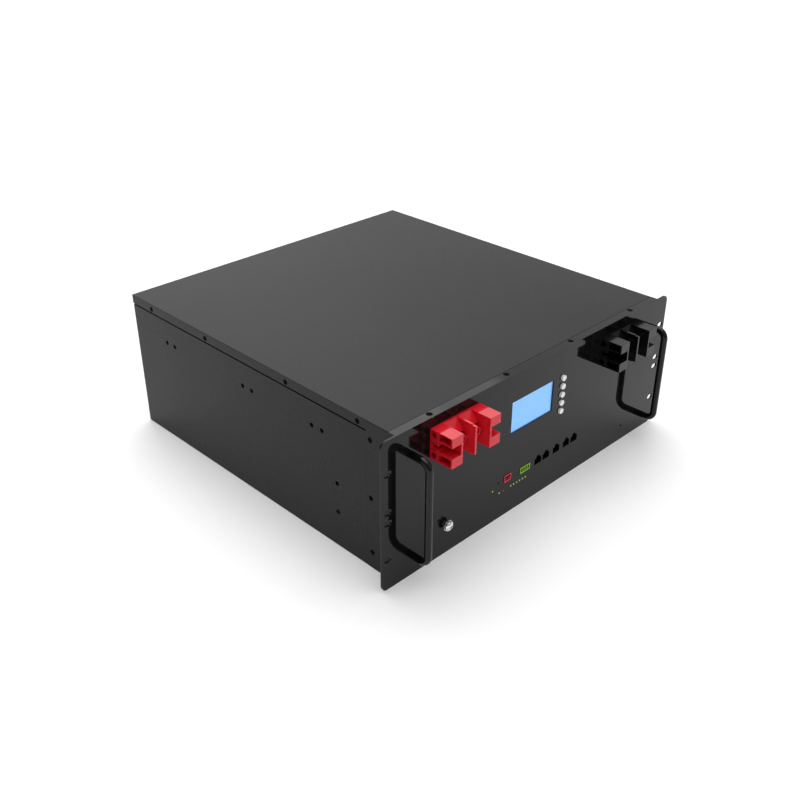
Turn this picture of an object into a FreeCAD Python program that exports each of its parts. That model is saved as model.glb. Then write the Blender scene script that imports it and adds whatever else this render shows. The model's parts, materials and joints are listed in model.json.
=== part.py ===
import FreeCAD, Part
import math
import os

V = FreeCAD.Vector

# Rack-mount lithium battery module, millimetres.
# X runs across the front panel, Z is up, and Y is the depth behind the panel's front face.
# Every piece is drawn with Y = 0 on that face and moved by ROW_SHIFT_Y when it is exported,
# so that the origin of the finished part is under the middle of its bounding box.

# ---- driving dimensions ----
PANEL_W = 482.6            # 19 inch rack panel over the ears
PANEL_H = 177.0            # 4 rack units
PANEL_T = 2.0
EAR_CORNER_R = 8.0
COVER_W = 442.0
TRAY_W = 439.4             # over the inset parts of the tray's walls
BACK_Y = 457.6             # rear face of the cover's back flange
GRIP_Y = -25.5             # centre line of the handle grip
HANDLE_R = 4.0
ROW_SHIFT_Y = -(BACK_Y + GRIP_Y - HANDLE_R) / 2

SHEET = 1.2                # tray, frame and cover sheet
FLOOR_T = 1.5
TRAY_FRONT_Y = 3.4
TRAY_BACK_Y = 456.3
TRAY_TOP_Z = 175.6
TRAY_WIDE_TOP_Z = 164.2    # below this the tray's walls stand flush with the cover
COVER_BOTTOM_Z = PANEL_H - SHEET
SEAM_Y = 10.6              # rear edge of the panel's top flange
FRAME_DEPTH = 42.0         # side flange of the front frame
FLANGE_DROP = 11.0         # height of the cover's side flange
JOINT_GAP = 0.12           # gap between the frame's and the tray's sheets
SEAM_GAP = 0.5             # gap between the panel's top flange and the cover
FIT_GAP = 0.1              # gap between a sheet and the part inside it

SLOT_X = 232.55            # rack slots, half of 465.1
SLOT_Z = (37.7, 82.15, 94.85, 139.3)
SLOT_LEN = 10.0
SLOT_W = 6.8

HANDLE_X = 202.0
HANDLE_Z = (28.5, 148.5)
HANDLE_BEND_R = 10.0

TOP_SCREW_X = (-170.0, -55.0, 55.0, 170.0)
TOP_SCREW_Y = 6.3
COVER_SCREW_Y = (53.8, 163.7, 306.7, 416.3)
COVER_SCREW_Z = 170.3
BACK_SCREW_X = (-150.0, 0.0, 150.0)
FRAME_SCREWS = ((36.0, 156.4), (36.0, 88.1), (35.0, 20.7))
WALL_PAIR_Y = (116.0, 233.0, 381.5)
WALL_PAIR_PITCH = 16.0
WALL_PAIR_Z = 135.5
BMS_HOLES = ((87.0, 81.0), (87.0, 45.0))
WALL_HOLE_R = 2.8

SCREW_SINK = 0.3           # how far the countersunk heads lie below the sheet
CASE_SCREW = (1.5, 2.95)   # shank and head radius
CASE_SCREW_L = 7.0
CASE_CSK = (2.1, 3.3)      # clearance and countersink radius
FLANGE_SCREW = (2.0, 3.25)
FLANGE_SCREW_L = 8.5
FLANGE_CSK = (2.2, 3.6)
HANDLE_HOLE_R = 2.7
HANDLE_THREAD_R = 2.1
BLOCK_HOLE_R = 1.7
EARTH_R = 3.0              # M6

BLOCK_X = (-174.9, 104.3)  # left end of the positive and of the negative terminal block
BLOCK_W = 71.0
BLOCK_H = 34.0
BLOCK_Z = 131.5
BLOCK_REACH = 29.0
BOSS_X = (24.95, 46.1)     # bay centres, from the block's left end
BOSS_R = 7.0
BOSS_REACH = 18.5
BLOCK_PLATE_Y = -3.0       # front of the blocks' back plate
FORK_X = 15.7              # inner face of the forked guards, from the block's end
FORK_WEB_X = 13.4
FORK_BASE_Y = -10.9        # bottom of the gap between the guard prongs
FIN_X = (34.2, 36.8)       # centre fin, from the block's left end
GUARD_STEP_Y = -23.0       # the guards and the fin are lower in front of this depth
GUARD_STEP = 0.9
LEDGE_W = 2.0
LEDGE_Y = -19.0
POCKET_X = 12.6            # depth of the prongs' hollows, from the block's end
POCKET_Y = (-27.0, -11.7)
SLIT_X = 6.0
SLIT_Y = (-9.0, -1.5)
SLIT_H = 0.9
INSERT_Y = -13.2           # front face of the threaded inserts
END_HOLE_R = 3.6           # round hollows in the ends of the blocks
END_HOLE_X = 12.0
END_HOLE = (-4.6, 28.5, 5.2)
NUT_BORE_R = 1.55
NUT_R = 3.0
NUT_L = 3.5
INSERT_R = 5.0
M8_MINOR_R = 3.4
M8_DEPTH = 16.6
LINK_Y = 8.0               # front of the link plate behind each terminal block

LCD = (-49.4, 21.8, 103.6, 142.9)
LCD_FACE_Y = 1.6           # front of the clear window
KEY_X = 37.85
KEY_Z = (139.9, 129.35, 118.8, 108.25, 97.7)
KEY_R = 3.5
KEY_DOME_R = 10.0
KEY_REACH = 3.0
RJ45_X = (3.6, 18.2, 37.2, 56.1, 70.8)
RJ45_Z = 42.5
RJ45_W = 11.8
HEADER = (-28.4, -11.5, 42.9, 50.5)
HEADER_PITCH = 3.81
DIP = (-56.2, -44.8, 44.4, 53.1)
DIP_PITCH = 2.54
DIP_TRAVEL = 1.2
RESET = (-65.2, 48.4)
GREEN_LEDS = ((-74.6, 41.9), (-63.1, 34.2)) + tuple((-43.1 + 5.04 * i, 34.2) for i in range(6))
RED_LED = (-56.0, 34.2)
LED_R = 1.15
EARTH = (-150.0, 38.4)
SPARE_HOLE = (171.2, 20.9)
SPARE_HOLE_R = 1.5
RESET_HOLE_R = 1.3
BOARD_Y = 16.0             # front face of the control board

WALL_IN = COVER_W / 2 - SHEET - FIT_GAP    # half the width left between the flush walls
CELL_T = 50.1              # prismatic cell, thickness along X
CELL_L = 160.0
CELL_H = 115.5
CELL_PITCH = 51.3
CELLS_PER_ROW = 8
ROW_Y = (112.0, 280.0)     # front face of each row of cells
CELL_Z = 2.8
TERMINAL_OFFSET = 52.0
TERMINAL_TOP = CELL_Z + CELL_H + 3.0


# ---- helpers ----
def box(x0, x1, y0, y1, z0, z1):
    return Part.makeBox(x1 - x0, y1 - y0, z1 - z0, V(x0, y0, z0))


def rod_x(y, z, x0, x1, r):
    return Part.makeCylinder(r, x1 - x0, V(x0, y, z), V(1, 0, 0))


def rod_y(x, z, y0, y1, r):
    return Part.makeCylinder(r, y1 - y0, V(x, y0, z), V(0, 1, 0))


def rod_z(x, y, z0, z1, r):
    return Part.makeCylinder(r, z1 - z0, V(x, y, z0), V(0, 0, 1))


def fused(shapes):
    shapes = list(shapes)
    if len(shapes) == 1:
        return shapes[0]
    return shapes[0].multiFuse(shapes[1:]).removeSplitter()


def cut(shape, tools):
    return shape.cut(list(tools))


def edges_where(shape, test):
    return [e for e in shape.Edges if test(e)]


def along(edge, axis):
    """True for a straight edge that runs along axis (0, 1 or 2)."""
    if edge.Curve.TypeId != "Part::GeomLine":
        return False
    direction = edge.Vertexes[-1].Point.sub(edge.Vertexes[0].Point)
    direction.normalize()
    return abs(abs(direction[axis]) - 1) < 1e-6


def at(edge, **planes):
    """True where the middle of the edge lies on the given planes, such as x=3.0."""
    c = edge.CenterOfMass
    return all(abs(getattr(c, k) - v) < 0.01 for k, v in planes.items())


def slot_y(x, z, length, width, y0, y1):
    """A slot with round ends through the panel, long along X."""
    half = (length - width) / 2
    return fused([box(x - half, x + half, y0, y1, z - width / 2, z + width / 2),
                  rod_y(x - half, z, y0, y1, width / 2),
                  rod_y(x + half, z, y0, y1, width / 2)])


def csk_hole(centre, inward, thick, radii):
    """Tool for a countersunk hole through a sheet of thickness thick."""
    clear_r, head_r = radii
    cone_h = min(thick, head_r - clear_r)
    cone = Part.makeCone(head_r, head_r - cone_h, cone_h, centre, inward)
    return cone.fuse(Part.makeCylinder(clear_r, thick + 0.4, centre, inward))


def csk_screw(mouth, inward, radii, length):
    """Countersunk screw with a cross recess, sunk a little below the mouth of its hole."""
    shaft_r, head_r = radii
    head_h = head_r - shaft_r
    centre = mouth + inward * SCREW_SINK
    screw = Part.makeCone(head_r, shaft_r, head_h, centre, inward)
    screw = screw.fuse(Part.makeCylinder(shaft_r, length, centre, inward))
    return screw.removeSplitter().cut(cross_recess(centre, inward, head_r * 0.55, head_h * 0.6))


def cross_recess(centre, inward, reach, depth):
    """Cross of two tapered slots, cut into a screw's head from outside."""
    width = reach * 0.36
    arms = fused([box(-reach, reach, -width / 2, width / 2, -0.5, depth),
                  box(-width / 2, width / 2, -reach, reach, -0.5, depth)])
    arms.Placement = FreeCAD.Placement(centre, FreeCAD.Rotation(V(0, 0, 1), inward))
    return arms


def nut(centre, inward, bore_r, outer_r, length):
    """Round clinch nut that starts at centre and runs inward."""
    body = Part.makeCylinder(outer_r, length, centre, inward)
    return body.cut(Part.makeCylinder(bore_r, length, centre, inward))


def tube_route(points, radius, bend_r):
    """A round cable: straight runs joined by tangent arcs of radius bend_r."""
    edges = []
    start = points[0]
    for before, corner, after in zip(points, points[1:], points[2:]):
        a = before.sub(corner).normalize()
        b = after.sub(corner).normalize()
        half = a.getAngle(b) / 2
        reach = bend_r / math.tan(half)
        first = corner + a * reach
        last = corner + b * reach
        bisector = (a + b).normalize()
        middle = corner + bisector * (bend_r / math.sin(half) - bend_r)
        edges.append(Part.LineSegment(start, first).toShape())
        edges.append(Part.Arc(first, middle, last).toShape())
        start = last
    edges.append(Part.LineSegment(start, points[-1]).toShape())
    direction = points[1].sub(points[0])
    profile = Part.Wire(Part.makeCircle(radius, points[0], direction))
    pipe = Part.Wire(edges).makePipeShell([profile], True, False, 2)
    return pipe


def export(name, *solids):
    os.makedirs("parts", exist_ok=True)
    moved = []
    for solid in solids:
        copy = solid.copy()
        copy.translate(V(0, ROW_SHIFT_Y, 0))
        moved.append(copy)
    shape = moved[0] if len(moved) == 1 else Part.makeCompound(moved)
    shape.exportStep("parts/" + name + ".step")


# ---- where the sheet-metal screws sit ----
def cover_side_screws():
    return [V(-COVER_W / 2, y, COVER_SCREW_Z) for y in COVER_SCREW_Y]


def frame_side_screws():
    return [V(-COVER_W / 2, y, z) for y, z in FRAME_SCREWS]


def back_screws():
    return [V(x, BACK_Y, COVER_SCREW_Z) for x in BACK_SCREW_X]


def top_screws():
    return [V(x, TOP_SCREW_Y, PANEL_H) for x in TOP_SCREW_X]


# ---- sheet metal ----
def jack_outline(x, grow, y0, y1):
    """Plug opening of an RJ45 jack: the plug's body and the stepped latch notch above it."""
    half = RJ45_W / 2 + grow
    top = RJ45_Z + 7.5
    return fused([box(x - half, x + half, y0, y1, RJ45_Z - grow, top + grow),
                  box(x - 3.2 - grow, x + 3.2 + grow, y0, y1, top, top + 2.0 + grow),
                  box(x - 1.8 - grow, x + 1.8 + grow, y0, y1, top, top + 3.5 + grow)])


def rect_y(rect, grow, y0, y1):
    return box(rect[0] - grow, rect[1] + grow, y0, y1, rect[2] - grow, rect[3] + grow)


def front_panel():
    half = PANEL_W / 2
    plate = box(-half, half, 0, PANEL_T, 0, PANEL_H)
    corners = edges_where(plate, lambda e: along(e, 1))
    plate = plate.makeFillet(EAR_CORNER_R, corners)
    flange = box(-COVER_W / 2, COVER_W / 2, 0, SEAM_Y, PANEL_H - PANEL_T, PANEL_H)
    panel = fused([plate, flange])
    cuts = [slot_y(s * SLOT_X, z, SLOT_LEN, SLOT_W, -1, 3) for s in (-1, 1) for z in SLOT_Z]
    cuts += [rect_y(r, 0.0, -1, 3) for r in (LCD, HEADER, DIP)]
    cuts += [rod_y(KEY_X, z, -1, 3, KEY_R + 0.35) for z in KEY_Z]
    cuts += [jack_outline(x, 0.2, -1, 3) for x in RJ45_X]
    cuts += [rod_y(x, z, -1, 3, LED_R + 0.1) for x, z in GREEN_LEDS + (RED_LED,)]
    cuts += [rod_y(RESET[0], RESET[1], -1, 3, RESET_HOLE_R)]
    cuts += shared_cuts(-1, 3)
    cuts += [csk_hole(p, V(0, 0, -1), PANEL_T, FLANGE_CSK) for p in top_screws()]
    return cut(panel, cuts)


def shared_cuts(y0, y1):
    """Holes that pass the panel and the frame: terminals, handles, earth point and spare hole."""
    holes = [rod_y(x, z, y0, y1, INSERT_R + 0.3) for x, z in insert_centres()]
    holes += [rod_y(x, z, y0, y1, BLOCK_HOLE_R) for x, z in block_screw_centres()]
    holes += [rod_y(s * HANDLE_X, z, y0, y1, HANDLE_HOLE_R) for s in (-1, 1) for z in HANDLE_Z]
    holes.append(rod_y(EARTH[0], EARTH[1], y0, y1, EARTH_R + FIT_GAP))
    holes.append(rod_y(SPARE_HOLE[0], SPARE_HOLE[1], y0, y1, SPARE_HOLE_R))
    return holes


def insert_centres():
    return [(left + boss, BLOCK_Z + BLOCK_H / 2) for left in BLOCK_X for boss in BOSS_X]


def block_screw_centres():
    return [(left + x, BLOCK_Z + z) for left in BLOCK_X for x in (8.0, 63.0) for z in (11.4, 22.6)]


def top_flange_relief():
    """Room under the panel's top flange."""
    return box(-PANEL_W / 2, PANEL_W / 2, -1, SEAM_Y + 0.15, PANEL_H - PANEL_T - 0.1, PANEL_H + 1)


def front_frame():
    """Frame behind the panel: a web, two side flanges, a top ledge and a bottom ledge."""
    inner = TRAY_W / 2 + FIT_GAP
    outer = COVER_W / 2
    web = box(-outer, outer, PANEL_T, PANEL_T + SHEET, 0.3, 174.8)
    window = box(-92, 92, PANEL_T - 1, PANEL_T + 2, 24, 160)
    sides = [box(-outer, -inner, PANEL_T, FRAME_DEPTH, 0.3, TRAY_TOP_Z),
             box(inner, outer, PANEL_T, FRAME_DEPTH, 0.3, TRAY_TOP_Z)]
    top_ledge = box(-200, 200, PANEL_T, 15, 173.6, 174.8)
    bottom_ledge = box(-200, 200, PANEL_T, 20, FLOOR_T + 0.1, FLOOR_T + 1.3)
    foot = box(-201, 201, PANEL_T - 1, TRAY_FRONT_Y, -1, FLOOR_T + 0.1)
    frame = fused([web, top_ledge, bottom_ledge] + sides)
    cuts = [window, foot, top_flange_relief()] + shared_cuts(1, 5)
    cuts += [rod_z(p.x, p.y, 170, 176, FLANGE_CSK[0]) for p in top_screws()]
    return cut(frame, cuts + side_csk_holes(frame_side_screws()))


def side_csk_holes(places):
    """Countersunk holes on the left side at places and on the right side opposite them."""
    holes = [csk_hole(p, V(1, 0, 0), SHEET, CASE_CSK) for p in places]
    return holes + [csk_hole(V(-p.x, p.y, p.z), V(-1, 0, 0), SHEET, CASE_CSK) for p in places]


def chassis_tray():
    """Open tray whose walls stand flush with the cover and step inward below its flanges."""
    half = TRAY_W / 2
    wide = COVER_W / 2
    wide_front = FRAME_DEPTH + JOINT_GAP
    skirt = box(-wide, wide, wide_front, BACK_Y, 0, TRAY_WIDE_TOP_Z)
    soft = edges_where(skirt, lambda e: at(e, x=-wide, z=0) or at(e, x=wide, z=0)
                       or at(e, y=BACK_Y, z=0) or at(e, x=wide, y=BACK_Y)
                       or at(e, x=-wide, y=BACK_Y))
    skirt = skirt.makeFillet(1.0, soft)
    tray = fused([skirt, box(-half, half, TRAY_FRONT_Y, TRAY_BACK_Y, 0, TRAY_TOP_Z)])
    tray = cut(tray, [box(-half + SHEET, half - SHEET, TRAY_FRONT_Y - 1, TRAY_BACK_Y - SHEET,
                          FLOOR_T, TRAY_TOP_Z + 1),
                      box(-wide + SHEET, wide - SHEET, wide_front + SHEET, BACK_Y - SHEET,
                          FLOOR_T, TRAY_WIDE_TOP_Z - SHEET)])
    lips = [box(s * (half - 6.5) - 6, s * (half - 6.5) + 6, 18, TRAY_BACK_Y - SHEET,
                TRAY_TOP_Z - SHEET, TRAY_TOP_Z) for s in (-1, 1)]
    tray = fused([tray] + lips)
    reach = wide + 2
    holes = [rod_x(y, z, -reach, reach, WALL_HOLE_R) for y, z in BMS_HOLES + wall_pair_holes()]
    holes.append(top_flange_relief())
    holes += [rod_x(p.y, p.z, -reach, reach, CASE_CSK[0])
              for p in cover_side_screws() + frame_side_screws()]
    holes += [rod_y(p.x, p.z, TRAY_BACK_Y - 3, TRAY_BACK_Y + 3, CASE_CSK[0]) for p in back_screws()]
    return cut(tray, holes)


def wall_pair_holes():
    half = WALL_PAIR_PITCH / 2
    return tuple((y + s * half, WALL_PAIR_Z) for y in WALL_PAIR_Y for s in (-1, 1))


def top_cover():
    half = COVER_W / 2
    inner = TRAY_W / 2 + FIT_GAP
    low = PANEL_H - FLANGE_DROP
    front = FRAME_DEPTH + JOINT_GAP
    plate = box(-half, half, SEAM_Y + SEAM_GAP, BACK_Y, COVER_BOTTOM_Z, PANEL_H)
    sides = [box(-half, -inner, front, BACK_Y, low, PANEL_H),
             box(inner, half, front, BACK_Y, low, PANEL_H)]
    back = box(-half, half, TRAY_BACK_Y + FIT_GAP, BACK_Y, low, PANEL_H)
    cover = fused([plate, back] + sides)
    bend = edges_where(cover, lambda e: along(e, 1) and abs(abs(e.CenterOfMass.x) - half) < 0.01
                       and abs(e.CenterOfMass.z - PANEL_H) < 0.01)
    bend += edges_where(cover, lambda e: along(e, 0) and at(e, y=BACK_Y, z=PANEL_H))
    cover = cover.makeFillet(0.5, bend)
    back_holes = [csk_hole(p, V(0, -1, 0), SHEET, CASE_CSK) for p in back_screws()]
    return cut(cover, side_csk_holes(cover_side_screws()) + back_holes)


# ---- fasteners ----
def case_screws():
    """The small countersunk screws of the cover's side and back flanges and of the frame."""
    side = [csk_screw(p, V(1, 0, 0), CASE_SCREW, CASE_SCREW_L)
            for p in cover_side_screws() + frame_side_screws()]
    back = [csk_screw(p, V(0, -1, 0), CASE_SCREW, CASE_SCREW_L) for p in back_screws()]
    return mirrored(side) + back


def mirrored(shapes):
    return shapes + [s.mirror(V(0, 0, 0), V(1, 0, 0)) for s in shapes]


def clinch_nuts():
    """Threaded nuts pressed into the inside of the tray walls and the frame's top ledge."""
    wall = -TRAY_W / 2 + SHEET
    side = [nut(V(wall, p.y, p.z), V(1, 0, 0), NUT_BORE_R, NUT_R, NUT_L)
            for p in cover_side_screws() + frame_side_screws()]
    back = [nut(V(p.x, TRAY_BACK_Y - SHEET, p.z), V(0, -1, 0), NUT_BORE_R, NUT_R, NUT_L)
            for p in back_screws()]
    top = [nut(V(p.x, p.y, 173.6), V(0, 0, -1), 2.05, 2.9, 4.0) for p in top_screws()]
    return mirrored(side) + back + top


# ---- handles ----
def handle(x):
    """U handle of round bar, standing on the panel."""
    low, high = HANDLE_Z
    r = HANDLE_BEND_R
    pieces = [rod_y(x, low, GRIP_Y + r, 0, HANDLE_R), rod_y(x, high, GRIP_Y + r, 0, HANDLE_R),
              rod_z(x, GRIP_Y, low + r, high - r, HANDLE_R)]
    for z, start in ((low + r, 180.0), (high - r, 90.0)):
        torus = Part.makeTorus(r, HANDLE_R, V(x, GRIP_Y + r, z), V(1, 0, 0), -180, 180, 360)
        y0, y1 = GRIP_Y - HANDLE_R - 1, GRIP_Y + r
        z0, z1 = (z - r - HANDLE_R - 1, z) if start == 180.0 else (z, z + r + HANDLE_R + 1)
        pieces.append(torus.common(box(x - 6, x + 6, y0, y1, z0, z1)))
    bar = fused(pieces)
    threads = [rod_y(x, z, -12, 1, HANDLE_THREAD_R) for z in HANDLE_Z]
    return cut(bar, threads)


def pan_screw_from_behind(x, z, y_seat, reach_y, shaft_r, head_r, head_h):
    """Pan-head screw whose head bears on y_seat and whose shaft runs forward to reach_y."""
    screw = rod_y(x, z, reach_y, y_seat + 0.01, shaft_r).fuse(
        rod_y(x, z, y_seat, y_seat + head_h, head_r)).removeSplitter()
    return screw.cut(cross_recess(V(x, y_seat + head_h, z), V(0, -1, 0), head_r * 0.6, head_h * 0.6))


# ---- terminal blocks ----
def terminal_block(left):
    """Two-pole terminal shroud: forked guards at both ends, a centre fin and two bosses."""
    z0, z1 = BLOCK_Z, BLOCK_Z + BLOCK_H
    mid = (z0 + z1) / 2
    low_step, high_step = z0 + GUARD_STEP, z1 - GUARD_STEP

    def b(x0, x1, y0, y1, za, zb):
        return box(left + x0, left + x1, y0, y1, za, zb)

    solids = [b(0, BLOCK_W, BLOCK_PLATE_Y, 0, z0, z1),
              b(*FIN_X, GUARD_STEP_Y, BLOCK_PLATE_Y, z0, z1),
              b(*FIN_X, 1 - BLOCK_REACH, GUARD_STEP_Y, low_step, high_step)]
    hollows = []
    for flip in (False, True):
        def end(x0, x1, y0, y1, za, zb):
            """A box measured inward from the left end, or from the right end when flipped."""
            if flip:
                return b(BLOCK_W - x1, BLOCK_W - x0, y0, y1, za, zb)
            return b(x0, x1, y0, y1, za, zb)

        fork = fused([end(FORK_WEB_X, FORK_X, GUARD_STEP_Y, BLOCK_PLATE_Y, z0, z1),
                      end(FORK_WEB_X, FORK_X, -BLOCK_REACH, GUARD_STEP_Y, low_step, high_step),
                      end(0, FORK_X, FORK_BASE_Y, BLOCK_PLATE_Y, z0 + 18.2, z1),
                      end(0, FORK_X, FORK_BASE_Y, BLOCK_PLATE_Y, z0, z0 + 14.0),
                      end(0, FORK_X, -BLOCK_REACH, FORK_BASE_Y, z0 + 23.4, z1),
                      end(0, FORK_X, -BLOCK_REACH, FORK_BASE_Y, z0, z0 + 11.3)])
        hollows += [end(-1, POCKET_X, *POCKET_Y, z0 + 24.6, z1 - 1.0),
                    end(-1, POCKET_X, *POCKET_Y, z0 + 1.6, z0 + 9.4),
                    end(-1, SLIT_X, *SLIT_Y, z0 + 19.4, z0 + 19.4 + SLIT_H),
                    end(-1, SLIT_X, *SLIT_Y, z0 + 11.9, z0 + 11.9 + SLIT_H)]
        hole_y, high_hole, low_hole = END_HOLE
        near, far = (BLOCK_W - END_HOLE_X, BLOCK_W + 1) if flip else (-1, END_HOLE_X)
        hollows += [rod_x(hole_y, z0 + h, left + near, left + far, END_HOLE_R)
                    for h in (high_hole, low_hole)]
        solids.append(fork)
    bays = ((BOSS_X[0], FORK_X, FIN_X[0]), (BOSS_X[1], FIN_X[1], BLOCK_W - FORK_X))
    for boss, bay0, bay1 in bays:
        solids.append(rod_y(left + boss, mid, -BOSS_REACH, BLOCK_PLATE_Y, BOSS_R))
        solids.append(b(bay0, bay0 + LEDGE_W, LEDGE_Y, BLOCK_PLATE_Y, mid + 0.5, mid + 1.5))
        solids.append(b(bay1 - LEDGE_W, bay1, LEDGE_Y, BLOCK_PLATE_Y, mid + 0.5, mid + 1.5))
        solids += [gusset(left + bay0, left + bay1, mid, sign) for sign in (-1, 1)]
    block = fused(solids)
    cuts = hollows + [rod_y(left + boss, mid, -BOSS_REACH - 1, 1, INSERT_R) for boss in BOSS_X]
    cuts += [rod_y(x, z, -7, 1, 1.45) for x, z in block_screw_centres()
             if left < x < left + BLOCK_W]
    return cut(block, cuts)


def gusset(x0, x1, mid, sign):
    """Sloped web from the back plate's edge down to the boss, filling the bay's width."""
    high = mid + sign * BLOCK_H / 2
    low = mid + sign * (BOSS_R - 1.5)
    profile = [V(x0, BLOCK_PLATE_Y, high), V(x0, -9.5, mid + sign * (BOSS_R + 3.2)),
               V(x0, -12.5, low), V(x0, BLOCK_PLATE_Y, low)]
    face = Part.Face(Part.makePolygon(profile + [profile[0]]))
    return face.extrude(V(x1 - x0, 0, 0))


def terminal_insert(x, z):
    """Threaded M8 contact through the shroud's boss and the panel."""
    body = rod_y(x, z, INSERT_Y, LINK_Y, INSERT_R - 0.02)
    mouth = Part.makeCone(M8_MINOR_R + 0.6, M8_MINOR_R, 0.6, V(x, INSERT_Y, z), V(0, 1, 0))
    bore = rod_y(x, z, INSERT_Y, INSERT_Y + M8_DEPTH, M8_MINOR_R)
    return body.cut(mouth).cut(bore)


def terminal_link(left):
    mid = BLOCK_Z + BLOCK_H / 2
    return box(left + 18, left + 53, LINK_Y, LINK_Y + 2, mid - 8, mid + 8)


# ---- display, keys, ports and indicators ----
def lcd_bezel():
    """Thin lining of the display opening, with a rim behind the panel."""
    lining = rect_y(LCD, -0.05, 0.05, PANEL_T + 0.4)
    rim = rect_y(LCD, 2.5, PANEL_T + 0.1, PANEL_T + 1.1)
    return fused([lining, rim]).cut(rect_y(LCD, -0.35, -1, 5))


def lcd_window():
    return rect_y(LCD, -0.4, LCD_FACE_Y, LCD_FACE_Y + 0.5)


def lcd_module():
    """Display cell in the opening, its backlight frame and the block behind it."""
    return fused([rect_y(LCD, -0.4, LCD_FACE_Y + 0.55, PANEL_T + 1.3),
                  rect_y(LCD, 2.5, PANEL_T + 1.2, 9.0),
                  rect_y(LCD, -6, 9.0, BOARD_Y - 0.1)])


def key(z):
    """Domed push key with a retaining collar behind the panel and a stem to its switch."""
    dome = Part.makeSphere(KEY_DOME_R, V(KEY_X, KEY_DOME_R - KEY_REACH, z))
    cap = rod_y(KEY_X, z, -KEY_REACH - 1, PANEL_T + 2.2, KEY_R).common(dome.fuse(
        rod_y(KEY_X, z, 1.0, PANEL_T + 3, 5.0)))
    collar = rod_y(KEY_X, z, PANEL_T + 0.3, PANEL_T + 1.3, KEY_R + 0.9)
    stem = rod_y(KEY_X, z, PANEL_T + 1.0, 9.8, 1.5)
    return fused([cap, collar, stem])


def key_switch(z):
    return fused([box(KEY_X - 3, KEY_X + 3, 12.0, BOARD_Y, z - 3, z + 3),
                  rod_y(KEY_X, z, 11.0, 12.5, 1.6)])


def rj45_socket(x):
    body = box(x - 7.0, x + 7.0, PANEL_T + 0.2, BOARD_Y, RJ45_Z - 2.5, RJ45_Z + 12.3)
    return body.cut(jack_outline(x, 0.0, PANEL_T - 1, 14.5))


def rj45_contacts(x):
    """Eight sprung wires at the foot of one jack."""
    return [box(x + 1.02 * (i - 3.5) - 0.2, x + 1.02 * (i - 3.5) + 0.2, 6.0, 13.8,
                RJ45_Z + 0.3, RJ45_Z + 0.8) for i in range(8)]


def header_wells():
    centre = (HEADER[0] + HEADER[1]) / 2
    return [centre + HEADER_PITCH * (i - 1.5) for i in range(4)]


def dry_contact_header():
    body = rect_y(HEADER, -0.1, -0.8, BOARD_Y - 0.1)
    wells = [box(x - 1.45, x + 1.45, -2, 9.0, HEADER[2] + 1.2, HEADER[3] - 1.4) for x in header_wells()]
    keyway = [box(x - 0.8, x + 0.8, -2, 9.0, HEADER[3] - 1.5, HEADER[3] - 0.8) for x in header_wells()]
    return cut(body, wells + keyway)


def dry_contact_pins():
    mid = (HEADER[2] + HEADER[3]) / 2 - 0.1
    return [box(x - 0.5, x + 0.5, 1.5, 9.0, mid - 0.5, mid + 0.5) for x in header_wells()]


def dip_centres():
    centre = (DIP[0] + DIP[1]) / 2
    return [centre + DIP_PITCH * (i - 1.5) for i in range(4)]


DIP_REST_Z = (DIP[2] + DIP[3]) / 2 - DIP_TRAVEL / 2


def dip_switch_body():
    mid = (DIP[2] + DIP[3]) / 2
    body = rect_y(DIP, -0.1, -0.9, 11.0).fuse(rect_y(DIP, -1.5, 10.5, BOARD_Y - 0.1)).removeSplitter()
    recess = box(DIP[0] + 1.0, DIP[1] - 1.0, -2, 0.9, mid - 2.9, mid + 2.9)
    slots = [box(x - 0.75, x + 0.75, 0.5, 3.0, DIP_REST_Z - 0.9, DIP_REST_Z + DIP_TRAVEL + 0.9)
             for x in dip_centres()]
    return cut(body, [recess] + slots)


def dip_slider(x):
    cap = box(x - 0.7, x + 0.7, -0.4, 0.6, DIP_REST_Z - 0.8, DIP_REST_Z + 0.8)
    tongue = box(x - 0.45, x + 0.45, 0.5, 2.6, DIP_REST_Z - 0.5, DIP_REST_Z + 0.5)
    return fused([cap, tongue])


def reset_button():
    """Plunger reached through the small hole in the panel with a pin."""
    x, z = RESET
    tip = rod_y(x, z, 0.7, 9.8, 1.0)
    collar = rod_y(x, z, PANEL_T + 1.6, PANEL_T + 2.6, 2.0)
    return fused([tip, collar])


def reset_switch():
    x, z = RESET
    return fused([box(x - 3, x + 3, 12.0, BOARD_Y, z - 3, z + 3), rod_y(x, z, 11.0, 12.5, 1.2)])


def led(x, z):
    """Round lens with a domed tip, a foot and two leads to the board."""
    dome = Part.makeSphere(LED_R, V(x, 0.4, z)).common(box(x - 3, x + 3, -3, 0.4, z - 3, z + 3))
    leads = [rod_y(x + side * 0.9, z, 5.5, BOARD_Y, 0.25) for side in (-1, 1)]
    return fused([dome, rod_y(x, z, 0.4, 6.0, LED_R), rod_y(x, z, 5.0, 6.0, 1.9)] + leads)


def control_board():
    board = box(-84, 84, BOARD_Y, BOARD_Y + 1.6, 26, 156)
    holes = [rod_y(x, z, 10, 20, 1.6) for x, z in standoff_centres()]
    return cut(board, holes)


def standoff_centres():
    return [(x, z) for x in (-79.0, 79.0) for z in (67.0, 151.0)]


def board_standoffs():
    pillars = []
    for x, z in standoff_centres():
        pillars.append(rod_y(x, z, PANEL_T, BOARD_Y, 2.8).cut(rod_y(x, z, 6, 17, 1.3)))
    return pillars


def small_pan_screws():
    """M2.5 screws of the control board and M3 screws of the terminal blocks."""
    board = [pan_screw_from_behind(x, z, BOARD_Y + 1.6, 8.0, 1.25, 2.7, 1.8)
             for x, z in standoff_centres()]
    blocks = [pan_screw_from_behind(x, z, PANEL_T + SHEET, -6.0, 1.4, 2.8, 2.0)
              for x, z in block_screw_centres()]
    return board + blocks


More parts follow.
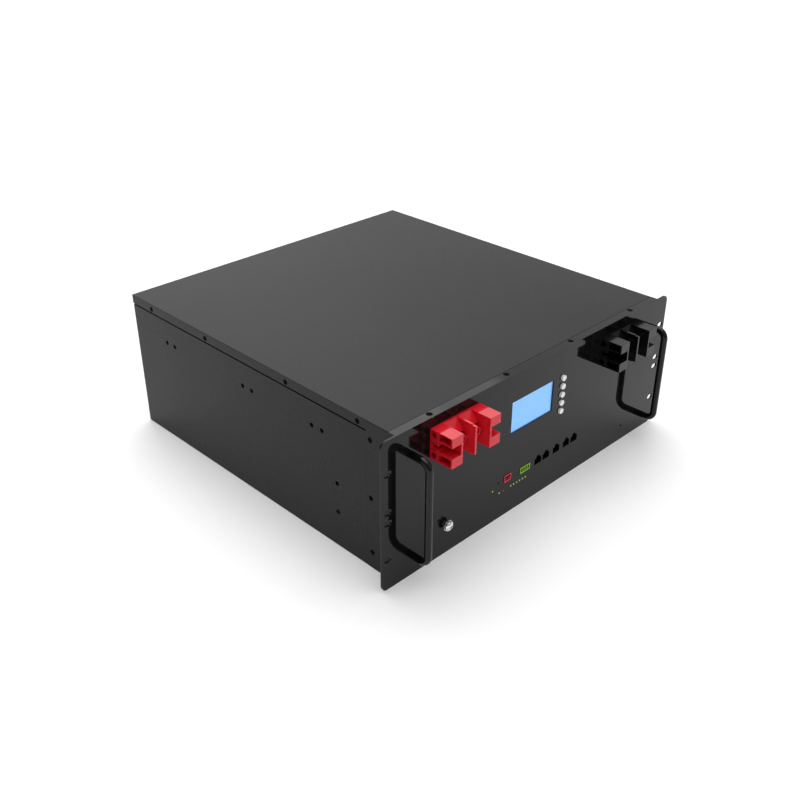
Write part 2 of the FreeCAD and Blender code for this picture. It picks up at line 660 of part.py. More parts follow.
# ---- earth point ----
def earth_screw():
    """Pan-head screw standing off the panel, ready to take the ring of an earth lead."""
    x, z = EARTH
    head_r = 5.7
    seat, rim, tip = -5.3, -6.4, -8.8
    rise = rim - tip
    sphere_r = (head_r ** 2 + rise ** 2) / (2 * rise)
    dome = Part.makeSphere(sphere_r, V(x, tip + sphere_r, z)).common(
        rod_y(x, z, tip - 0.1, rim, head_r))
    screw = fused([rod_y(x, z, seat, 11.0, EARTH_R), rod_y(x, z, rim, seat, head_r), dome])
    return screw.cut(cross_recess(V(x, tip + 0.2, z), V(0, 1, 0), 2.6, 1.5))


def earth_washer():
    """Flat washer and split spring washer held under the screw's head."""
    x, z = EARTH
    bore = rod_y(x, z, -8, 0, EARTH_R + FIT_GAP)
    split = box(x - 0.4, x + 0.4, -6, -4, z, z + 6)
    spring = rod_y(x, z, -5.2, -4.3, 4.6).cut(bore).cut(split)
    return [rod_y(x, z, -4.2, -3.4, 6.2).cut(bore), spring]


def earth_nut():
    x, z = EARTH
    radius = 10.0 / math.sqrt(3)
    corners = [V(x + radius * math.cos(math.radians(60 * i)), PANEL_T + SHEET,
                 z + radius * math.sin(math.radians(60 * i))) for i in range(7)]
    corners[6] = corners[0]
    body = Part.Face(Part.makePolygon(corners)).extrude(V(0, 5, 0))
    return body.cut(rod_y(x, z, 2, 12, 3.05))


# ---- battery management and power path ----
def bms_bracket():
    inner = WALL_IN
    plate = box(-inner, inner, 92.0, 93.4, 8, 120)
    tabs = [box(-inner, -inner + 1.4, 80, 93, 35, 91), box(inner - 1.4, inner, 80, 93, 35, 91)]
    holes = [rod_x(y, z, -230, 230, WALL_HOLE_R) for y, z in BMS_HOLES]
    return cut(fused([plate] + tabs), holes)


def bms_heat_sink():
    base = box(-185, 185, 88.0, 91.9, 14, 116)
    fins = [box(-182.5 + 12 * i, -180.5 + 12 * i, 78.0, 88.5, 14, 116) for i in range(31)]
    return fused([base] + fins)


def bms_board():
    board = box(-190, 190, 72.0, 74.0, 12, 122)
    blocks = [box(x - 6, x + 6, 74.0, 77.8, 40, 52) for x in range(-165, 166, 30)]
    return [board] + blocks


def row_cell_x(index):
    return (index - (CELLS_PER_ROW - 1) / 2) * CELL_PITCH


def cell(index, row_y):
    x = row_cell_x(index)
    can = box(x - CELL_T / 2, x + CELL_T / 2, row_y, row_y + CELL_L, CELL_Z, CELL_Z + CELL_H)
    upright = edges_where(can, lambda e: along(e, 2))
    return can.makeFillet(3.0, upright)


def terminal_y(row_y, back):
    return row_y + CELL_L / 2 + (TERMINAL_OFFSET if back else -TERMINAL_OFFSET)


def cell_terminals():
    top = CELL_Z + CELL_H
    return [rod_z(row_cell_x(i), terminal_y(row_y, back), top, TERMINAL_TOP, 7.0)
            for row_y in ROW_Y for i in range(CELLS_PER_ROW) for back in (False, True)]


def cell_busbars():
    """Fifteen links that put the sixteen cells in series."""
    z0, z1 = TERMINAL_TOP, TERMINAL_TOP + 2.0
    links = []
    for row, row_y in enumerate(ROW_Y):
        for i in range(CELLS_PER_ROW - 1):
            back = (i + row) % 2 == 1
            y = terminal_y(row_y, back)
            links.append(box(row_cell_x(i) - 8, row_cell_x(i + 1) + 8, y - 9, y + 9, z0, z1))
    x = row_cell_x(CELLS_PER_ROW - 1)
    links.append(box(x - 8, x + 8, terminal_y(ROW_Y[0], True) - 9, terminal_y(ROW_Y[1], False) + 9, z0, z1))
    return links


def cell_separators():
    return [box(row_cell_x(i) + CELL_T / 2 + 0.1, row_cell_x(i + 1) - CELL_T / 2 - 0.1,
                row_y + 2, row_y + CELL_L - 2, CELL_Z, CELL_Z + CELL_H - 3)
            for row_y in ROW_Y for i in range(CELLS_PER_ROW - 1)]


def end_plates():
    edge = row_cell_x(CELLS_PER_ROW - 1) + CELL_T / 2 + 0.3
    plates = [box(-edge - 6, -edge, row_y + 1, row_y + CELL_L - 1, CELL_Z, CELL_Z + CELL_H)
              for row_y in ROW_Y]
    return mirrored(plates)


def compression_pads():
    outer = WALL_IN - FIT_GAP
    edge = row_cell_x(CELLS_PER_ROW - 1) + CELL_T / 2 + 6.5
    pads = [box(-outer, -edge, row_y + 5, row_y + CELL_L - 5, 12, 108) for row_y in ROW_Y]
    return mirrored(pads)


def hold_down_bar(y):
    """Channel across both walls, with a tab and two holes at each end."""
    inner = WALL_IN
    web = box(-inner, inner, y - 14, y + 14, 126.5, 128.0)
    ribs = [box(-inner + 3, inner - 3, y + s * 13.25 - 0.75, y + s * 13.25 + 0.75, 128, 136)
            for s in (-1, 1)]
    tabs = [box(-inner, -inner + 1.5, y - 14, y + 14, 127, 142),
            box(inner - 1.5, inner, y - 14, y + 14, 127, 142)]
    holes = [rod_x(y + s * WALL_PAIR_PITCH / 2, WALL_PAIR_Z, -230, 230, WALL_HOLE_R) for s in (-1, 1)]
    lead = lead_points()[0]
    notch = rod_z(lead.x, lead.y, 120, 145, 9.0)
    return cut(fused([web] + ribs + tabs), holes + [notch])


def lead_points():
    """Where the two power leads leave the first cell of each row."""
    x = row_cell_x(0)
    return V(x, terminal_y(ROW_Y[0], True), TERMINAL_TOP), V(x, terminal_y(ROW_Y[1], False), TERMINAL_TOP)


def insulation_sheets():
    low = box(-214, 214, ROW_Y[0] - 4, ROW_Y[1] + CELL_L + 4, FLOOR_T + 0.1, FLOOR_T + 1.1)
    high = box(-214, 214, ROW_Y[0] - 4, ROW_Y[1] + CELL_L + 4, TERMINAL_TOP + 3.0, TERMINAL_TOP + 4.0)
    high = cut(high, [rod_z(p.x, p.y, 110, 140, 9.0) for p in lead_points()])
    return [low, high]


def sense_strips():
    z0 = TERMINAL_TOP + 0.2
    strips = []
    for row_y in ROW_Y:
        middle = row_y + CELL_L / 2
        strips.append(box(-200, 200, middle - 5, middle + 5, z0 - 2.8, z0 - 1.8))
    return strips


LEAD_Z = 150.0
FUSE_Y = (150.0, 205.0)


def lug(point):
    return fused([rod_z(point.x, point.y, point.z, point.z + 2.0, 7.5),
                  rod_z(point.x, point.y, point.z + 1.5, point.z + 7.0, 5.5)])


def positive_cable():
    start, _ = lead_points()
    x = start.x
    link_x = BLOCK_X[0] + BLOCK_W / 2
    rear = tube_route([V(x, start.y, start.z + 7.0), V(x, start.y, LEAD_Z), V(x, FUSE_Y[1], LEAD_Z)],
                      5.0, 12.0)
    front = tube_route([V(x, FUSE_Y[0], LEAD_Z), V(x, 62, LEAD_Z), V(link_x, 48, LEAD_Z),
                        V(link_x, 10.0, LEAD_Z)], 5.0, 14.0)
    return [lug(start), rear, front]


def negative_cable():
    _, start = lead_points()
    bend_x = start.x + 34
    link_x = BLOCK_X[1] + BLOCK_W / 2
    rear = tube_route([V(start.x, start.y, start.z + 7.0), V(start.x, start.y, 158.0),
                       V(bend_x, start.y, 158.0), V(bend_x, 64.0, 158.0), V(bend_x, 64.0, 112.0)],
                      5.0, 12.0)
    front = tube_route([V(link_x, 64.0, 112.0), V(link_x, 64.0, LEAD_Z), V(link_x, 10.0, LEAD_Z)],
                       5.0, 14.0)
    feet = [box(x - 8, x + 8, 59.0, 71.8, 104, 112) for x in (bend_x, link_x)]
    return [lug(start), rear, front] + feet


def main_fuse():
    x = lead_points()[0].x
    return fused([rod_y(x, LEAD_Z, FUSE_Y[0] + 12, FUSE_Y[1] - 12, 10.0),
                  rod_y(x, LEAD_Z, FUSE_Y[0], FUSE_Y[1], 6.0)])


# ---- build every node ----
def build():
    export("front_panel", front_panel())
    export("front_frame", front_frame())
    export("chassis_tray", chassis_tray())
    export("top_cover", top_cover())
    export("case_screws", *case_screws())
    export("front_flange_screws", *[csk_screw(p, V(0, 0, -1), FLANGE_SCREW, FLANGE_SCREW_L)
                                    for p in top_screws()])
    export("clinch_nuts", *clinch_nuts())

    for side, x in (("left", -HANDLE_X), ("right", HANDLE_X)):
        export("handle_" + side, handle(x))
    export("handle_screws", *[pan_screw_from_behind(s * HANDLE_X, z, PANEL_T + SHEET, -8.0, 2.05, 4.5, 3.0)
                              for s in (-1, 1) for z in HANDLE_Z])

    for name, left in zip(("positive", "negative"), BLOCK_X):
        export(name + "_terminal_block", terminal_block(left))
    export("terminal_inserts", *[terminal_insert(x, z) for x, z in insert_centres()])
    export("terminal_link_plates", *[terminal_link(left) for left in BLOCK_X])

    export("lcd_bezel", lcd_bezel())
    export("lcd_window", lcd_window())
    export("lcd_module", lcd_module())
    for number, z in enumerate(KEY_Z, start=1):
        export("key_" + str(number), key(z))
    export("key_switches", *([key_switch(z) for z in KEY_Z] + [reset_switch()]))
    export("reset_button", reset_button())
    for number, x in enumerate(RJ45_X, start=1):
        export("rj45_socket_" + str(number), rj45_socket(x))
    export("rj45_contacts", *[wire for x in RJ45_X for wire in rj45_contacts(x)])
    export("dry_contact_header", dry_contact_header())
    export("dry_contact_pins", *dry_contact_pins())
    export("dip_switch_body", dip_switch_body())
    for number, x in enumerate(dip_centres(), start=1):
        export("dip_slider_" + str(number), dip_slider(x))
    export("green_leds", *[led(x, z) for x, z in GREEN_LEDS])
    export("red_led", led(*RED_LED))
    export("control_board", control_board())
    export("board_standoffs", *board_standoffs())
    export("small_pan_screws", *small_pan_screws())

    export("earth_screw", earth_screw())
    export("earth_washer", *earth_washer())
    export("earth_nut", earth_nut())

    export("bms_bracket", bms_bracket())
    export("bms_heat_sink", bms_heat_sink())
    export("bms_board", *bms_board())
    for name, row_y in zip(("front", "back"), ROW_Y):
        export("cells_" + name + "_row", *[cell(i, row_y) for i in range(CELLS_PER_ROW)])
    export("cell_terminals", *cell_terminals())
    export("cell_busbars", *cell_busbars())
    export("end_plates", *end_plates())
    export("compression_pads", *compression_pads())
    export("hold_down_bars", *[hold_down_bar(y) for y in WALL_PAIR_Y])
    export("insulation_sheets", *(insulation_sheets() + cell_separators()))
    export("sense_strips", *sense_strips())
    export("positive_cable", *positive_cable())
    export("negative_cable", *negative_cable())
    export("main_fuse", main_fuse())


build()
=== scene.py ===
import json
import math

import bmesh
import bpy
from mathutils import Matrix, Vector


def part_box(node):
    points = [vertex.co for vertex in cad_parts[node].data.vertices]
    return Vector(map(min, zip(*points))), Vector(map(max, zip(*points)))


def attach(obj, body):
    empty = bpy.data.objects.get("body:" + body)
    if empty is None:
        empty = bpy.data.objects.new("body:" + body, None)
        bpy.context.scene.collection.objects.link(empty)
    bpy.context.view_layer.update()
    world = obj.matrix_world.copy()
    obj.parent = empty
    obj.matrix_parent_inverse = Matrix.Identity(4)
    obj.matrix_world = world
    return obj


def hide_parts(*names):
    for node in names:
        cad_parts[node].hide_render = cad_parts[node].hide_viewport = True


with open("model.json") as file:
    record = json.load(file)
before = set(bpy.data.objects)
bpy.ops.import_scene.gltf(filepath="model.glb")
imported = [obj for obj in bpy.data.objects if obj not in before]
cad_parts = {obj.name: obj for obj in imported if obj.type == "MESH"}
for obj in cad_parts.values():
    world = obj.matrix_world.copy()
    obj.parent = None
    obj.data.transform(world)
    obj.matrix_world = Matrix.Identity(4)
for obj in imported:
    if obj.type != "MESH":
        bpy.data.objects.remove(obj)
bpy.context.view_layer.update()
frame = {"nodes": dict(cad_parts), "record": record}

# Rack-mount lithium battery module. Metres, in the CAD's frame: the front panel faces -Y.
MM = 0.001
NODES = frame["nodes"]
FRONT_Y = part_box("front_panel")[0].y


# ---------------------------------------------------------------- mesh helpers
def new_object(name, mesh_data, material, body="pack", replaces=()):
    """Finishes a built piece: material, the body it rides on and what it stands for."""
    piece = bpy.data.objects.new(name, mesh_data)
    bpy.context.scene.collection.objects.link(piece)
    piece.data.materials.append(material)
    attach(piece, body)
    if replaces:
        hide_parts(*replaces)
    return piece


def mesh_from(bm, name, smooth_angle=35.0):
    """A mesh from a bmesh, smooth except across edges sharper than smooth_angle."""
    bmesh.ops.recalc_face_normals(bm, faces=bm.faces)
    for face in bm.faces:
        face.smooth = True
    for edge in bm.edges:
        if len(edge.link_faces) == 2 and edge.calc_face_angle() > math.radians(smooth_angle):
            edge.smooth = False
    data = bpy.data.meshes.new(name)
    bm.to_mesh(data)
    bm.free()
    return data


def add_lathe(bm, profile, centre, segments=48):
    """Turns (radius, depth) points about the Y axis through centre; depth grows towards +Y."""
    rings = []
    for radius, depth in profile:
        if radius < 1e-7:
            rings.append([bm.verts.new((centre.x, centre.y + depth, centre.z))])
            continue
        ring = []
        for k in range(segments):
            turn = 2 * math.pi * k / segments
            ring.append(bm.verts.new((centre.x + radius * math.cos(turn), centre.y + depth,
                                      centre.z + radius * math.sin(turn))))
        rings.append(ring)
    for a, b in zip(rings, rings[1:]):
        for k in range(segments):
            n = (k + 1) % segments
            if len(a) == 1:
                bm.faces.new((a[0], b[k], b[n]))
            elif len(b) == 1:
                bm.faces.new((a[k], b[0], a[n]))
            else:
                bm.faces.new((a[k], b[k], b[n], a[n]))


def add_sweep(bm, path, radius, segments=32):
    """A round bar along path, with flat ends."""
    rings = []
    across = Vector((1, 0, 0))
    for i, point in enumerate(path):
        before = path[max(i - 1, 0)]
        after = path[min(i + 1, len(path) - 1)]
        along = (after - before).normalized()
        up = along.cross(across).normalized()
        ring = []
        for k in range(segments):
            turn = 2 * math.pi * k / segments
            spoke = across * math.cos(turn) + up * math.sin(turn)
            ring.append(bm.verts.new(point + radius * spoke))
        rings.append(ring)
    for a, b in zip(rings, rings[1:]):
        for k in range(segments):
            n = (k + 1) % segments
            bm.faces.new((a[k], a[n], b[n], b[k]))
    bm.faces.new(rings[0])
    bm.faces.new(list(reversed(rings[-1])))


# ---------------------------------------------------------------- material helpers
class Nodes:
    """Small helper that adds and links shader nodes of one material."""

    def __init__(self, name):
        self.material = bpy.data.materials.new(name)
        self.material.use_nodes = True
        self.tree = self.material.node_tree
        self.shader = self.tree.nodes["Principled BSDF"]

    def add(self, kind, **settings):
        node = self.tree.nodes.new(kind)
        for key, value in settings.items():
            setattr(node, key, value)
        return node

    def link(self, source, target):
        self.tree.links.new(source, target)

    def noise(self, scale, detail, roughness=0.55, stretch=(1, 1, 1)):
        coords = self.add("ShaderNodeTexCoord")
        mapping = self.add("ShaderNodeMapping")
        mapping.inputs["Scale"].default_value = stretch
        texture = self.add("ShaderNodeTexNoise")
        texture.inputs["Scale"].default_value = scale
        texture.inputs["Detail"].default_value = detail
        texture.inputs["Roughness"].default_value = roughness
        self.link(coords.outputs["Object"], mapping.inputs["Vector"])
        self.link(mapping.outputs["Vector"], texture.inputs["Vector"])
        return texture.outputs["Fac"]

    def ramp(self, factor, low, high, start=0.3, end=0.7):
        """Maps factor from start..end to low..high, held at both ends."""
        node = self.add("ShaderNodeMapRange")
        node.inputs["From Min"].default_value = start
        node.inputs["From Max"].default_value = end
        node.inputs["To Min"].default_value = low
        node.inputs["To Max"].default_value = high
        self.link(factor, node.inputs["Value"])
        return node.outputs["Result"]

    def colours(self, factor, stops):
        node = self.add("ShaderNodeValToRGB")
        elements = node.color_ramp.elements
        while len(elements) < len(stops):
            elements.new(0.5)
        for element, (place, colour) in zip(elements, stops):
            element.position = place
            element.color = (*colour, 1)
        self.link(factor, node.inputs["Fac"])
        return node.outputs["Color"]

    def bump(self, height, strength, distance):
        node = self.add("ShaderNodeBump")
        node.inputs["Strength"].default_value = strength
        node.inputs["Distance"].default_value = distance
        self.link(height, node.inputs["Height"])
        self.link(node.outputs["Normal"], self.shader.inputs["Normal"])


def tint(colour, factor):
    """The colour made lighter or darker, each channel at most 1."""
    return tuple(min(1.0, channel * factor) for channel in colour)


def surface(name, colour, rough, metallic=0.0, spread=0.12, rough_spread=0.05, cloud=18.0,
            grain=900.0, grain_strength=0.08, grain_depth=0.0002, ior=1.5, stretch=(1, 1, 1)):
    """A finish with broad colour drift, uneven gloss and a fine surface grain."""
    m = Nodes(name)
    broad = m.noise(cloud, 4.0)
    fine = m.noise(grain, 2.0, 0.5, stretch)
    stops = ((0.25, tint(colour, 1 - spread)), (0.75, tint(colour, 1 + spread)))
    m.link(m.colours(broad, stops), m.shader.inputs["Base Color"])
    m.link(m.ramp(fine, rough - rough_spread, rough + rough_spread), m.shader.inputs["Roughness"])
    m.bump(fine, grain_strength, grain_depth)
    m.shader.inputs["Metallic"].default_value = metallic
    m.shader.inputs["IOR"].default_value = ior
    return m


# ---------------------------------------------------------------- materials
def make_materials():
    made = {}

    def keep(slot, m):
        made[slot] = m.material
        return m

    keep("case_powder_coat", surface("case_powder_coat", (0.012, 0.012, 0.0125), 0.28, spread=0.12,
                                     rough_spread=0.04, cloud=9.0, grain=1400.0,
                                     grain_strength=0.06, grain_depth=0.0001, ior=1.23))
    keep("panel_gloss_coat", surface("panel_gloss_coat", (0.005, 0.005, 0.0055), 0.05, spread=0.08,
                                     rough_spread=0.012, cloud=12.0, grain=260.0,
                                     grain_strength=0.02, grain_depth=0.0001, ior=1.31))
    keep("handle_coat", surface("handle_coat", (0.003, 0.003, 0.003), 0.09, spread=0.1,
                                rough_spread=0.02, cloud=30.0, grain=900.0, grain_strength=0.03,
                                ior=1.36))
    screws = keep("black_screws", surface("black_screws", (0.0015, 0.0015, 0.0015), 0.6,
                                          grain=2500.0, grain_strength=0.06))
    screws.shader.inputs["Specular IOR Level"].default_value = 0.03
    keep("zinc_steel", surface("zinc_steel", (0.55, 0.56, 0.57), 0.32, metallic=1.0, grain=700.0,
                               stretch=(1, 1, 12)))
    keep("chrome_screw", surface("chrome_screw", (0.83, 0.83, 0.85), 0.14, metallic=1.0,
                                 spread=0.03, rough_spread=0.05, grain=1800.0, grain_strength=0.05))
    keep("red_terminal_plastic", surface("red_terminal_plastic", (0.66, 0.012, 0.024), 0.11,
                                         rough_spread=0.02, spread=0.05, cloud=60.0, grain=3000.0,
                                         grain_strength=0.03, grain_depth=0.00005, ior=1.43))
    keep("black_terminal_plastic", surface("black_terminal_plastic", (0.004, 0.004, 0.004), 0.16,
                                           rough_spread=0.03, spread=0.1, cloud=60.0, grain=3000.0,
                                           grain_strength=0.03, grain_depth=0.00005, ior=1.4))
    keep("terminal_brass", surface("terminal_brass", (0.62, 0.5, 0.3), 0.28, metallic=1.0,
                                   grain=1200.0))
    keep("copper_bar", surface("copper_bar", (0.78, 0.36, 0.2), 0.3, metallic=1.0, grain=500.0,
                               stretch=(1, 14, 1)))
    keep("gold_contact", surface("gold_contact", (0.85, 0.6, 0.22), 0.22, metallic=1.0))
    # painted light: the navy colour stands in for the display's blue light falling on the walls of
    # its recess
    keep("bezel_navy", surface("bezel_navy", (0.003, 0.014, 0.08), 0.3, grain=2000.0, ior=1.3))
    keep("display_glass", display_glass())
    keep("display_blue", display_blue())
    keep("key_grey", surface("key_grey", (0.93, 0.93, 0.93), 0.3, spread=0.02,
                             grain=2500.0, grain_strength=0.04))
    keep("black_plastic", surface("black_plastic", (0.003, 0.003, 0.003), 0.5, grain=2200.0,
                                  ior=1.2))
    # green_plastic and dip_red carry painted shade behind the panel's face, from shaded_well
    keep("green_plastic", shaded_well("green_plastic", (0.24, 0.56, 0.03), (0.004, 0.012, 0.002)))
    keep("dip_red", shaded_well("dip_red", (0.74, 0.035, 0.07), (0.10, 0.006, 0.012)))
    keep("dip_dark_red", surface("dip_dark_red", (0.3, 0.02, 0.03), 0.35, cloud=200.0,
                                 grain=2600.0))
    keep("led_green", lamp("led_green", (0.30, 0.44, 0.07), 0.22))
    keep("led_red", lamp("led_red", (0.35, 0.02, 0.02), 0.12))
    keep("circuit_board", surface("circuit_board", (0.015, 0.11, 0.04), 0.35, cloud=90.0,
                                  grain=600.0))
    keep("aluminium_bare", surface("aluminium_bare", (0.7, 0.7, 0.72), 0.34, metallic=1.0,
                                   grain=500.0, stretch=(1, 1, 14)))
    keep("cell_film_blue", surface("cell_film_blue", (0.02, 0.09, 0.33), 0.22, cloud=25.0,
                                   grain=300.0))
    keep("epoxy_sheet", surface("epoxy_sheet", (0.42, 0.5, 0.24), 0.5, cloud=40.0, grain=800.0))
    keep("foam_pad", surface("foam_pad", (0.03, 0.03, 0.03), 0.9, cloud=60.0, grain=900.0,
                             grain_strength=0.5, grain_depth=0.0006))
    keep("cable_orange", surface("cable_orange", (0.75, 0.18, 0.01), 0.45, grain=700.0))
    keep("cable_black", surface("cable_black", (0.012, 0.012, 0.012), 0.45, grain=700.0))
    keep("fuse_body", surface("fuse_body", (0.75, 0.72, 0.62), 0.3, grain=900.0))
    return made


def display_glass():
    """Clear window over the display, of low index so that it hardly mirrors."""
    m = surface("display_glass", (0.95, 0.98, 1.0), 0.03, spread=0.01, rough_spread=0.01,
                grain=200.0, grain_strength=0.01)
    m.shader.inputs["Transmission Weight"].default_value = 1.0
    m.shader.inputs["IOR"].default_value = 1.2
    return m


def display_blue():
    """Lit display: pale blue with a slight drift in brightness and a faint dot matrix."""
    m = surface("display_blue", (0.02, 0.05, 0.09), 0.4, grain=1500.0)
    coords = m.add("ShaderNodeTexCoord")
    dots = m.add("ShaderNodeTexChecker")
    dots.inputs["Scale"].default_value = 1800.0
    m.link(coords.outputs["Object"], dots.inputs["Vector"])
    glow = m.noise(14.0, 2.0)
    base = m.colours(glow, ((0.3, (0.21, 0.53, 0.96)), (0.7, (0.235, 0.56, 1.0))))
    mix = m.add("ShaderNodeMix", data_type="RGBA", blend_type="MULTIPLY")
    mix.inputs["Factor"].default_value = 0.06
    m.link(base, mix.inputs["A"])
    m.link(dots.outputs["Color"], mix.inputs["B"])
    m.link(mix.outputs["Result"], m.shader.inputs["Emission Color"])
    m.shader.inputs["Emission Strength"].default_value = 0.95
    return m


# how far in front of and behind the panel's face a connector turns from its own colour to painted
# shade
WELL_UNSHADED = 0.5 * MM
WELL_SHADED = 0.3 * MM


def shaded_well(name, face, painted_shade_colour):
    """Moulded connector plastic with painted shade: darkened behind the panel's face, where it sits
    in shade, and its own colour on its outer face.
    """
    m = surface(name, face, 0.3, spread=0.08, cloud=120.0, grain=2600.0, ior=1.4)
    coords = m.add("ShaderNodeTexCoord")
    split = m.add("ShaderNodeSeparateXYZ")
    m.link(coords.outputs["Object"], split.inputs["Vector"])
    # painted shade: the colour darkens with depth behind the panel's face, standing in for the
    # shade in the panel's opening
    depth = m.ramp(split.outputs["Y"], 0.0, 1.0, FRONT_Y - WELL_UNSHADED, FRONT_Y + WELL_SHADED)
    unshaded_colour = m.shader.inputs["Base Color"].links[0].from_socket
    mix = m.add("ShaderNodeMix", data_type="RGBA")
    m.link(depth, mix.inputs["Factor"])
    m.link(unshaded_colour, mix.inputs["A"])
    mix.inputs["B"].default_value = (*painted_shade_colour, 1)
    m.link(mix.outputs["Result"], m.shader.inputs["Base Color"])
    return m


def lamp(name, colour, glow):
    """A small lit diode lens."""
    m = surface(name, colour, 0.15, spread=0.1, grain=2500.0, grain_strength=0.03, cloud=300.0)
    m.shader.inputs["Subsurface Weight"].default_value = 0.3
    m.shader.inputs["Subsurface Radius"].default_value = (0.001, 0.001, 0.001)
    m.shader.inputs["Emission Color"].default_value = (*colour, 1)
    m.shader.inputs["Emission Strength"].default_value = glow
    return m


MATERIALS = make_materials()
SLOT_OF = {part["node"]: part["material_slot"] for part in frame["record"]["subparts"]}


def dress_cad_nodes():
    """Every carried-over CAD node gets its procedural finish."""
    for name, node in NODES.items():
        node.data.materials.clear()
        node.data.materials.append(MATERIALS[SLOT_OF[name]])


# width in mm of the small round on the sharp edges of the parts whose edges catch the light
EASED = {"front_panel": 0.3, "top_cover": 0.15, "positive_terminal_block": 0.2,
         "negative_terminal_block": 0.2, "dip_switch_body": 0.12}
WELD_DISTANCE = 1e-6
FLAT_ANGLE = math.radians(0.5)
SHARP_ANGLE = math.radians(40)


def ease_edges():
    """Joins the flat faces again, rounds the sharp edges and keeps the flats shaded flat."""
    for name, width in EASED.items():
        node = NODES[name]
        weld = node.modifiers.new("weld", "WELD")
        weld.merge_threshold = WELD_DISTANCE
        flat = node.modifiers.new("flat", "DECIMATE")
        flat.decimate_type = "DISSOLVE"
        flat.angle_limit = FLAT_ANGLE
        bevel = node.modifiers.new("ease", "BEVEL")
        bevel.width = width * MM
        bevel.segments = 2
        bevel.limit_method = "ANGLE"
        bevel.angle_limit = SHARP_ANGLE
        bevel.use_clamp_overlap = True
        even = node.modifiers.new("even", "WEIGHTED_NORMAL")
        even.mode = "FACE_AREA"
        even.weight = 100


# ---------------------------------------------------------------- built pieces
HANDLE_BEND = 10 * MM       # radius of the centre line in the handle's bends
HANDLE_SIDES = 40
BEND_STEPS = 16


def build_handles():
    """Round-bar handles, swept along their centre line with smooth bends."""
    for side in ("left", "right"):
        node = "handle_" + side
        low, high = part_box(node)
        radius = (high.x - low.x) / 2
        x = (low.x + high.x) / 2
        grip_y = low.y + radius
        z0 = low.z + radius
        z1 = high.z - radius
        bend_y = grip_y + HANDLE_BEND
        turns = [math.radians(90 * k / BEND_STEPS) for k in range(1, BEND_STEPS + 1)]
        path = [Vector((x, FRONT_Y, z0)), Vector((x, bend_y, z0))]
        path += [Vector((x, bend_y - HANDLE_BEND * math.sin(turn),
                         z0 + HANDLE_BEND - HANDLE_BEND * math.cos(turn))) for turn in turns]
        path.append(Vector((x, grip_y, z1 - HANDLE_BEND)))
        path += [Vector((x, bend_y - HANDLE_BEND * math.cos(turn),
                         z1 - HANDLE_BEND + HANDLE_BEND * math.sin(turn))) for turn in turns]
        path.append(Vector((x, FRONT_Y, z1)))
        bm = bmesh.new()
        add_sweep(bm, path, radius, HANDLE_SIDES)
        data = mesh_from(bm, node + "_bar", 60)
        new_object(node + "_bar", data, MATERIALS["handle_coat"], replaces=(node,))


KEY_COUNT = 5
KEY_SIDES = 40
KEY_RADIUS = 3.5 * MM
KEY_DOME_RADIUS = 10.0 * MM
KEY_DOME_SHARE = 0.86       # share of the key's radius that the dome covers; the rim is rounded
KEY_DOME_STEPS = 8
KEY_RIM_TURNS = (20, 40, 60, 80, 90)
KEY_RIM_DEPTH_SHARE = 0.9
KEY_RIM_STEP = 0.02 * MM
KEY_BARREL_END = 2.2 * MM   # depths behind the panel's face
KEY_COLLAR_START = 2.35 * MM
KEY_COLLAR_END = 3.3 * MM
KEY_COLLAR_RADIUS = 4.4 * MM
KEY_STEM_RADIUS = 1.5 * MM


def key_profile(tip, end):
    """(radius, y) points of a domed key from its tip to the end of its stem."""
    half = math.degrees(math.asin(KEY_RADIUS * KEY_DOME_SHARE / KEY_DOME_RADIUS))
    profile = []
    for k in range(KEY_DOME_STEPS + 1):
        turn = math.radians(half * k / KEY_DOME_STEPS)
        profile.append((KEY_DOME_RADIUS * math.sin(turn),
                        tip + KEY_DOME_RADIUS - KEY_DOME_RADIUS * math.cos(turn)))
    edge_r, edge_y = profile[-1]
    rim = KEY_RADIUS - edge_r
    for degrees in KEY_RIM_TURNS:
        turn = math.radians(degrees)
        profile.append((edge_r + rim * math.sin(turn),
                        edge_y + rim * KEY_RIM_DEPTH_SHARE * (1 - math.cos(turn)) + KEY_RIM_STEP))
    return profile + [(KEY_RADIUS, FRONT_Y + KEY_BARREL_END),
                      (KEY_COLLAR_RADIUS, FRONT_Y + KEY_COLLAR_START),
                      (KEY_COLLAR_RADIUS, FRONT_Y + KEY_COLLAR_END),
                      (KEY_STEM_RADIUS, FRONT_Y + KEY_COLLAR_END),
                      (KEY_STEM_RADIUS, end), (0, end)]


def build_keys():
    """Domed keys with an eased rim, a retaining collar and a stem."""
    for number in range(1, KEY_COUNT + 1):
        node = "key_" + str(number)
        low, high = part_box(node)
        centre = Vector(((low.x + high.x) / 2, 0, (low.z + high.z) / 2))
        bm = bmesh.new()
        add_lathe(bm, key_profile(low.y, high.y), centre, KEY_SIDES)
        data = mesh_from(bm, node + "_cap", 40)
        new_object(node + "_cap", data, MATERIALS["key_grey"], node, (node,))


dress_cad_nodes()
ease_edges()
build_handles()
build_keys()


# ---------------------------------------------------------------- floor, light and camera
FLOOR_HALF_SIZE = 40.0      # metres
FLOOR_GLOW = 0.18
SKY_STRENGTH = 0.25
# name, direction that the light comes from, strength, angle in degrees that it fills in the sky
SUNS = (("back_right", (0.5, 0.6, 1.0), 0.55, 50),
        ("wide_back", (0.5, 0.6, 1.0), 1.1, 100),
        ("far_back", (0.2, 0.9, 0.8), 0.4, 60),
        ("front_right", (0.3, -0.8, 0.8), 0.3, 60),
        ("overhead", (0.0, 0.0, 1.0), 1.4, 60))
CAMERA_AZIMUTH = -44.68
CAMERA_ELEVATION = 29.84
CAMERA_PLACE = (-0.7643, -0.76855, 0.6610)
CAMERA_LENS = 44.34         # mm, on a sensor 36 mm wide


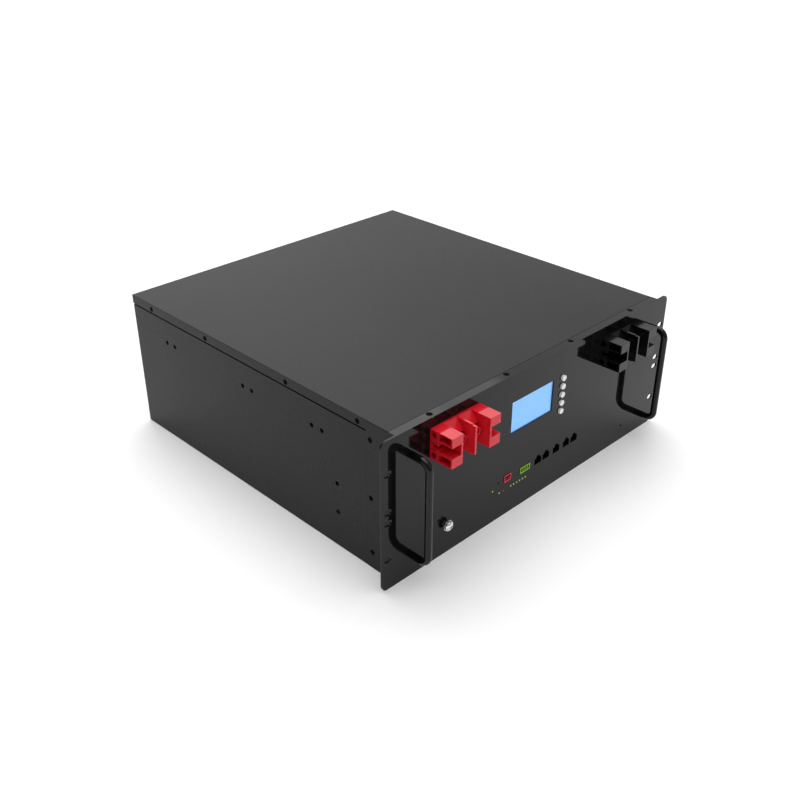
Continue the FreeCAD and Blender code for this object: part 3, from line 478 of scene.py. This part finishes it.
def pale_floor():
    """A plain pale floor, lifted a little by its own glow."""
    bm = bmesh.new()
    corners = [bm.verts.new((sx * FLOOR_HALF_SIZE, sy * FLOOR_HALF_SIZE, 0))
               for sx, sy in ((-1, -1), (1, -1), (1, 1), (-1, 1))]
    bm.faces.new(corners)
    data = mesh_from(bm, "floor")
    floor = bpy.data.objects.new("floor", data)
    bpy.context.scene.collection.objects.link(floor)
    m = surface("floor_paper", (0.8, 0.8, 0.8), 0.8, spread=0.01, cloud=2.0, grain=60.0,
                grain_strength=0.01)
    m.shader.inputs["Emission Color"].default_value = (1, 1, 1, 1)
    m.shader.inputs["Emission Strength"].default_value = FLOOR_GLOW
    data.materials.append(m.material)


def soft_sun(name, from_direction, strength, spread):
    """A far, wide light; spread is the angle in degrees that it fills in the sky."""
    light = bpy.data.lights.new(name, "SUN")
    light.energy = strength
    light.angle = math.radians(spread)
    holder = bpy.data.objects.new(name, light)
    holder.rotation_euler = Vector(from_direction).to_track_quat("Z", "Y").to_euler()
    bpy.context.scene.collection.objects.link(holder)


def studio():
    """An even sky and wide, soft lights from above and behind."""
    world = bpy.data.worlds.new("studio")
    world.use_nodes = True
    sky = world.node_tree.nodes["Background"]
    sky.inputs["Color"].default_value = (1, 1, 1, 1)
    sky.inputs["Strength"].default_value = SKY_STRENGTH
    bpy.context.scene.world = world
    for sun in SUNS:
        soft_sun(*sun)
    bpy.context.scene.view_settings.view_transform = "Standard"


def photo_camera():
    """Camera at the viewing angle and distance of a three-quarter product view."""
    azimuth = math.radians(CAMERA_AZIMUTH)
    elevation = math.radians(CAMERA_ELEVATION)
    back = Vector((math.sin(azimuth) * math.cos(elevation),
                   -math.cos(azimuth) * math.cos(elevation), math.sin(elevation)))
    data = bpy.data.cameras.new("camera")
    data.sensor_width = 36
    data.lens = CAMERA_LENS
    data.clip_start = 0.01
    camera = bpy.data.objects.new("camera", data)
    camera.location = CAMERA_PLACE
    camera.rotation_euler = (-back).to_track_quat("-Z", "Y").to_euler()
    bpy.context.scene.collection.objects.link(camera)
    bpy.context.scene.camera = camera


pale_floor()
studio()
photo_camera()
